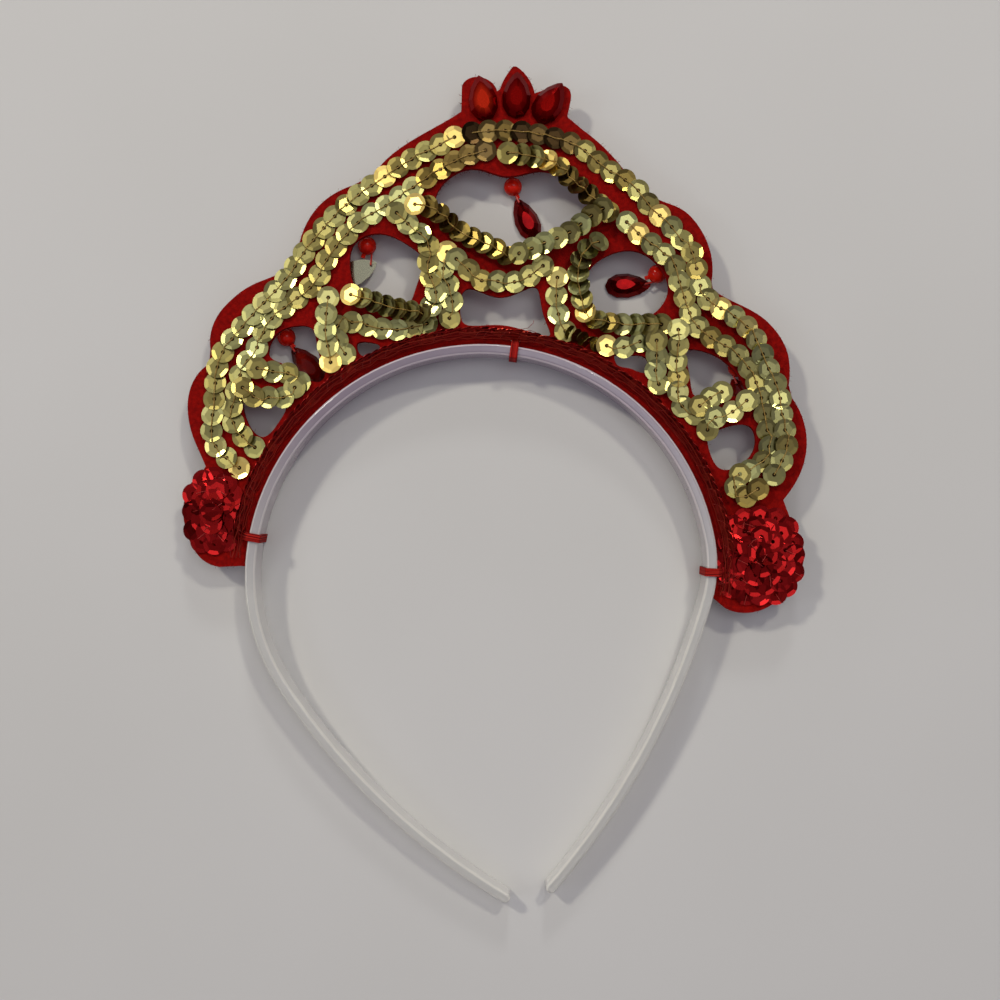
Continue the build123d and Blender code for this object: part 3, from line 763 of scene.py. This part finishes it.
def red_dome(node, shape, reach, dullest, chance):
    """Heap of dark red sequins over one end, lapping like scales from the foot to the top."""
    tree = surface_of(node)
    low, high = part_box(node)
    centre = (low + high) / 2
    half = (high - low) / 2
    inward = -1 if centre.x > 0 else 1
    bm = bmesh.new()
    threads = bmesh.new()
    for tier in range(dome_tiers):
        inset = first_inset + tier_inset * tier
        along = half.y - inset
        if along < least_reach:
            break
        across = max(half.x - inset + reach, least_reach)
        around = math.pi * (3 * (across + along)
                            - math.sqrt((3 * across + along) * (across + 3 * along)))
        count = max(2, round(around / dome_pitch))
        for step in range(count):
            shift = tier_shift * tier + chance.uniform(-dome_wobble, dome_wobble)
            turn = 2 * math.pi * (step + shift) / count
            square = max(abs(math.cos(turn)), abs(math.sin(turn))) ** dome_squareness
            out = Vector((across * math.cos(turn), along * math.sin(turn), 0)) * square
            spot = centre + out * chance.uniform(*dome_spread) + Vector((inward * reach, 0, 0))
            if (spot.x - centre.x) * inward < 0 and not covers(tree, spot.x, spot.y):
                continue
            outward = out.normalized()
            lean = math.radians(chance.uniform(*dome_lean))
            round_about = Vector((-outward.y, outward.x, 0))
            normal = (UP * math.cos(lean) + outward * math.sin(lean)
                      + round_about * chance.uniform(-dome_twist, dome_twist))
            middle = Vector((spot.x, spot.y, low.z + dome_foot + tier_drop * tier))
            spin = Matrix.Rotation(chance.uniform(0, dome_spin), 3, "Z")
            place = seat(middle, spin @ outward, normal)
            # A painted flash: the brightest tone, as if the sequin caught a lamp.
            painted_flash = chance.random() < painted_flash_share
            put(bm, shape, place, 1.0 if painted_flash else chance.uniform(dullest, brightest_dull))
            if chance.random() < tail_share:
                thread_tail(threads, place, normal.normalized(), chance)
    add_piece(node + "_sequins", bm, red_sequin, "red_sequin", node)
    add_piece(node + "_threads", threads, pale_thread, "red_sequin")


def string_radius(tree, angle):
    """Distance from the origin to the middle of the base string at a clock angle."""
    hits = []
    for step in range(search_count):
        reach = search_start + search_step * step
        if covers(tree, reach * math.sin(angle), reach * math.cos(angle)):
            hits.append(reach)
    return sum(hits) / len(hits) if hits else None


def base_string(shape, chance):
    """String of dark red sequins standing on edge along the foot of the tiara."""
    tree = surface_of("base_sequin_string")
    floor_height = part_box("base_sequin_string")[0].z
    bm = bmesh.new()
    threads = bmesh.new()
    angle = string_start
    lines = [[] for line in STRING_LINES]
    while angle < string_end:
        radius = string_radius(tree, angle)
        if radius is None:
            angle += string_skip
            continue
        outward = Vector((math.sin(angle), math.cos(angle), 0))
        along = Vector((math.cos(angle), -math.sin(angle), 0))
        stand = string_stand + chance.uniform(-stand_wobble, stand_wobble)
        normal = (UP * math.cos(stand) - outward * math.sin(stand)
                  + along * chance.uniform(*string_twist))
        middle = outward * (radius + string_out) + UP * (floor_height + string_height)
        in_view = string_first < angle < string_last
        if in_view:
            put(bm, shape, seat(middle, along, normal), chance.uniform(*string_tone))
        inner = middle - outward * string_inner
        for line, (out, rise) in zip(lines, STRING_LINES):
            sway = chance.uniform(-string_sway, string_sway)
            line.append(inner + outward * (out + sway) * mm
                        + UP * (rise + sway_rise * abs(sway)) * mm)
        if chance.random() < loop_share and in_view:
            foot = inner - outward * loop_foot[0] - UP * loop_foot[1]
            knee = foot + outward * loop_knee[0] + along * loop_knee[1] + UP * loop_knee[2]
            tube(threads, [foot, knee, middle + along * loop_end[0] + UP * loop_end[1]],
                 fine_thread)
        angle += string_pitch / radius
    for line in lines:
        first_face = len(bm.faces)
        tube(bm, line, long_thread)
        set_tone(bm, first_face, chance.uniform(*long_tone))
    add_piece("base_string_sequins", bm, string_sequin, "red_sequin", "base_sequin_string")
    add_piece("base_string_thread", threads, pale_thread, "red_sequin")


def soft_felt():
    """The felt with soft edges, cut from the CAD node's own outline."""
    bm = bmesh.new()
    bm.from_mesh(nodes["tiara_felt"].data)
    bmesh.ops.remove_doubles(bm, verts=bm.verts, dist=weld_distance)
    flat = [edge for edge in bm.edges
            if edge.is_manifold and edge.calc_face_angle() < flat_angle]
    bmesh.ops.dissolve_edges(bm, edges=flat, use_verts=False)
    levels = [max(vert.co.z for vert in bm.verts), min(vert.co.z for vert in bm.verts)]
    rims = [edge for edge in bm.edges
            if edge.is_manifold and edge.calc_face_angle() > sharp_angle
            and any(all(abs(vert.co.z - level) < level_slack for vert in edge.verts)
                    for level in levels)]
    bmesh.ops.bevel(bm, geom=rims, offset=felt_edge, offset_type="OFFSET", segments=edge_steps,
                    profile=0.5, affect="EDGES", material=-1, clamp_overlap=True)
    bmesh.ops.triangulate(bm, faces=[face for face in bm.faces if len(face.verts) > 4])
    add_piece("felt_tiara", bm, felt, "red_felt", "tiara_felt")


def felt_fuzz(chance):
    """Loose fibres that stand out from the cut edge of the felt, thickest round the crest."""
    bm = bmesh.new()
    walls = [face for face in nodes["tiara_felt"].data.polygons
             if abs(face.normal.z) < wall_limit]
    weights = [face.area * (crest_weight if face.center.y > crest_foot else 1) for face in walls]
    for face in chance.choices(walls, weights, k=fibre_count):
        out = face.normal.copy()
        drift = Vector([chance.uniform(-fibre_drift, fibre_drift) for axis in range(3)])
        start = face.center - out * fibre_root
        length = chance.uniform(*fibre_length)
        bend = (out + drift * fibre_bend).normalized()
        tip = (bend + drift).normalized()
        knee = start + bend * length * fibre_knee
        tube(bm, [start, knee, knee + tip * length * fibre_tip], fibre_diameter, fibre_sides)
    add_piece("felt_fibres", bm, felt, "red_felt")


def necks():
    """Short moulded neck on each bead, where its drop hangs."""
    for place in ("top", "left", "right", "low_left", "low_right"):
        bead_low, bead_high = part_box("bead_" + place)
        drop_low, drop_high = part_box("drop_" + place)
        bead = (bead_low + bead_high) / 2
        hang = ((drop_low + drop_high) / 2 - bead).normalized()
        start = bead + hang * neck_start
        bm = bmesh.new()
        tube(bm, [start] + [start + hang * step for step in NECK_STEPS], neck_diameter,
             neck_sides)
        add_piece("neck_" + place, bm, bead_acrylic, "red_acrylic")


def loose_ends():
    """Cut ends of sewing thread that stand up beside the ties."""
    bm = bmesh.new()
    for points in LOOSE_ENDS:
        tube(bm, [Vector(point) * mm for point in points], fine_thread, end_sides)
    add_piece("loose_thread_ends", bm, red_thread, "red_thread")


def paint_cad():
    """Better materials for the CAD nodes that stay in view."""
    paint("headband", clear_plastic)
    for name in nodes:
        if name.startswith("tie_"):
            paint(name, tied_thread)
        elif name.startswith("thread_"):
            paint(name, nylon)
        elif name.startswith("crest_gem"):
            paint(name, deep_gem)
        elif name.startswith("bead_"):
            paint(name, bead_acrylic)
        elif name.startswith("drop_"):
            paint(name, drop_acrylic)
    paint("crest_gem_left", brighter_glow_gem)
    paint("drop_left", drop_back)
    paint("drop_low_left", low_drop_acrylic)
    paint("drop_low_right", low_drop_acrylic)


def lay_table():
    """Plain pale table top."""
    bm = bmesh.new()
    bmesh.ops.create_grid(bm, x_segments=1, y_segments=1, size=table_half)
    bmesh.ops.translate(bm, verts=bm.verts, vec=(0, 0, -table_drop))
    mesh = shape_mesh("table top", bm)
    table_top = bpy.data.objects.new("table_top", mesh)
    bpy.context.scene.collection.objects.link(table_top)
    pale = material("pale table", (0.60, 0.59, 0.56), 0.8)
    mottle = add_noise(pale.node_tree, table_mottle, 3)
    set_colour(pale, add_ramp(pale.node_tree, mottle, TABLE_SHADES))
    mesh.materials.append(pale)


def light_room():
    """Soft room light: walls with duller and brighter patches, and five lamps."""
    scene = bpy.context.scene
    world = bpy.data.worlds.new("room")
    scene.world = world
    world.use_nodes = True
    tree = world.node_tree
    patches = add_ramp(tree, add_noise(tree, room_patch_scale, 1.0, "Generated"), ROOM_PATCHES)
    walls = add_ramp(tree, coordinate(tree, "Generated", "Z"), ROOM_WALLS)
    background = tree.nodes["Background"]
    tree.links.new(add_mix(tree, "MULTIPLY", patches, walls), background.inputs["Color"])
    background.inputs["Strength"].default_value = 1.0
    for name, spot, size, power, colour in LIGHTS:
        light = bpy.data.lights.new(name, "AREA")
        light.shape = "SQUARE"
        light.size = size
        light.energy = power
        light.color = colour
        lamp = bpy.data.objects.new(name, light)
        scene.collection.objects.link(lamp)
        lamp.location = spot
        aim = Vector(light_aim) - Vector(spot)
        lamp.rotation_euler = aim.to_track_quat("-Z", "Y").to_euler()


def set_camera():
    """Camera straight above, where the photo was taken from."""
    scene = bpy.context.scene
    scene.view_settings.view_transform = "Standard"
    camera = bpy.data.cameras.new("camera")
    camera.lens = camera_lens
    camera.sensor_width = camera_sensor
    camera.clip_start = camera_near
    camera.clip_end = camera_far
    eye = bpy.data.objects.new("camera", camera)
    eye.location = (camera_x, camera_y, camera_height)
    scene.collection.objects.link(eye)
    scene.camera = eye


paint_cad()
cup = sequin_shape(sequin_diameter, sequin_hole, sequin_flat)
small_cup = sequin_shape(string_diameter, string_hole, string_flat)
hole_shade = hole_shade_shape()
chance = random.Random(main_seed)
for row in GOLD_ROWS:
    gold_row(row, cup, hole_shade, chance)
foot_sequins(small_cup, random.Random(foot_seed))
soft_felt()
felt_fuzz(chance)
necks()
loose_ends()
red_dome("dome_left", cup, left_reach, left_dullest, chance)
red_dome("dome_right", cup, right_reach, right_dullest, chance)
base_string(small_cup, chance)
for shape in (cup, small_cup, hole_shade):
    bpy.data.meshes.remove(shape)
lay_table()
light_room()
set_camera()
